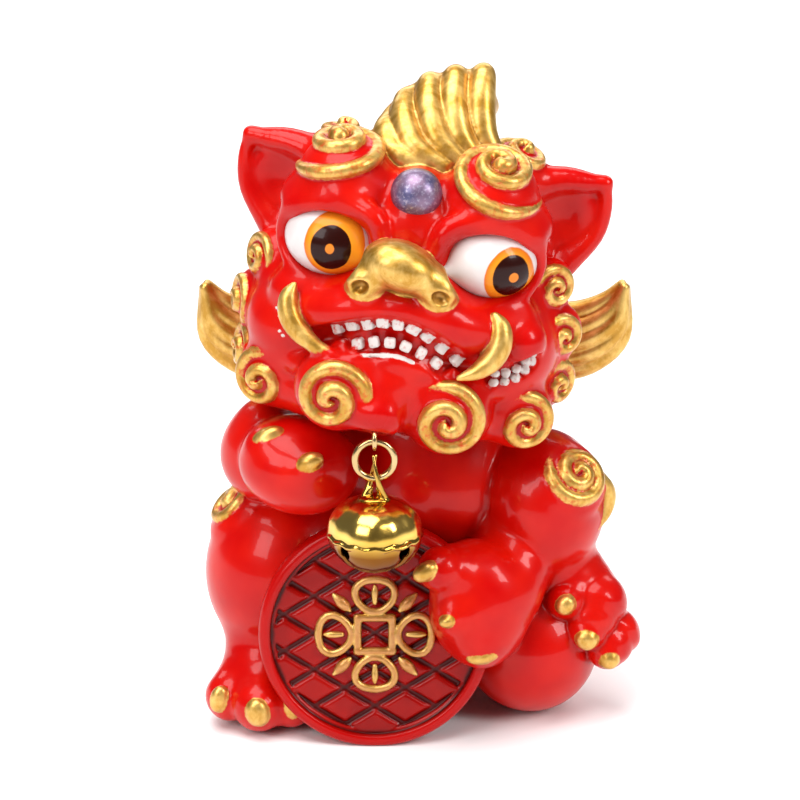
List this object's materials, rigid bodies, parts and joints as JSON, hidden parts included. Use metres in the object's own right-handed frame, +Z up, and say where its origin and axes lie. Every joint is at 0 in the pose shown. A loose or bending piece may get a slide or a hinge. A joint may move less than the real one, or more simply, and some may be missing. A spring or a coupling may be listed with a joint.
{
  "type": "foo dog statue",
  "caption": "Small squatting guardian lion in red and gold lacquered resin, holding an upright coin under one paw, with a jingle bell on a jump ring below its chin.",
  "frame": {"origin": "on the surface that the statue stands on, under the middle of its bounding box", "axes": "+Z up; the lion faces -Y, and +X is on the right of someone who looks at its face"},
  "size_m": [0.0568, 0.0548, 0.0857],
  "materials": {
    "red_lacquer": "glossy clear lacquer over red",
    "gold_paint": "hand-brushed gold paint",
    "ivory_paint": "glossy off-white paint",
    "pearl": "pearlescent",
    "bell_brass": "bright plated brass",
    "pellet_steel": "plain steel"
  },
  "bodies": {
    "statue": {"head": "red_lacquer", "nose": "gold_paint", "forehead_pearl": "pearl", "eye_left": "ivory_paint", "tusk_left": "gold_paint", "eye_right": "ivory_paint", "tusk_right": "gold_paint", "upper_teeth": "ivory_paint", "lower_teeth": "ivory_paint", "side_teeth_left": "ivory_paint", "side_teeth_right": "ivory_paint", "brow_curl_left": "gold_paint", "brow_curl_right": "gold_paint", "crown_curl_left": "gold_paint", "crown_curl_right": "gold_paint", "temple_curl_left": "gold_paint", "temple_curl_right": "gold_paint", "side_curl_left": "gold_paint", "side_curl_right": "gold_paint", "cheek_curl_left": "gold_paint", "cheek_curl_right": "gold_paint", "jaw_curl_left": "gold_paint", "jaw_curl_right": "gold_paint", "chin_curl_left": "gold_paint", "chin_curl_right": "gold_paint", "nape_curl_left": "gold_paint", "nape_curl_right": "gold_paint", "nape_curl_top": "gold_paint", "crest": "gold_paint", "ear_left": "red_lacquer", "ear_right": "red_lacquer", "coin": "red_lacquer", "body": "red_lacquer", "grounded_leg": "red_lacquer", "raised_arm": "red_lacquer", "coin_arm": "red_lacquer", "lifted_leg": "red_lacquer", "coin_emblem": "gold_paint", "tail": "gold_paint", "side_tuft_left": "gold_paint", "side_tuft_right": "gold_paint", "knee_curl_left": "gold_paint", "knee_curl_right": "gold_paint", "raised_claw_1": "gold_paint", "raised_claw_2": "gold_paint", "coin_claw_1": "gold_paint", "coin_claw_2": "gold_paint", "coin_claw_3": "gold_paint", "ground_claw_1": "gold_paint", "ground_claw_2": "gold_paint", "ground_claw_3": "gold_paint", "lifted_claw_1": "gold_paint", "lifted_claw_2": "gold_paint", "lifted_claw_3": "gold_paint", "chin_eyelet": "bell_brass"},
    "jump_ring": {"jump_ring": "bell_brass"},
    "bell": {"bell_shell": "bell_brass", "bell_shank": "bell_brass"},
    "pellet": {"bell_pellet": "pellet_steel"}
  },
  "joints": [
    {"name": "ring_swing", "type": "hinge", "parent": "statue", "child": "jump_ring", "pos_m": [-0.00565, -0.02167, 0.04341], "axis": [0, 1, 0], "range_deg": [-12, 8]},
    {"name": "bell_swing", "type": "hinge", "parent": "jump_ring", "child": "bell", "pos_m": [-0.00565, -0.02167, 0.03871], "axis": [1, 0, 0], "range_deg": [-55, 4]},
    {"name": "pellet_rattle", "type": "slide", "parent": "bell", "child": "pellet", "axis": [0, 0, 1], "range_m": [0, 0.004]}
  ]
}
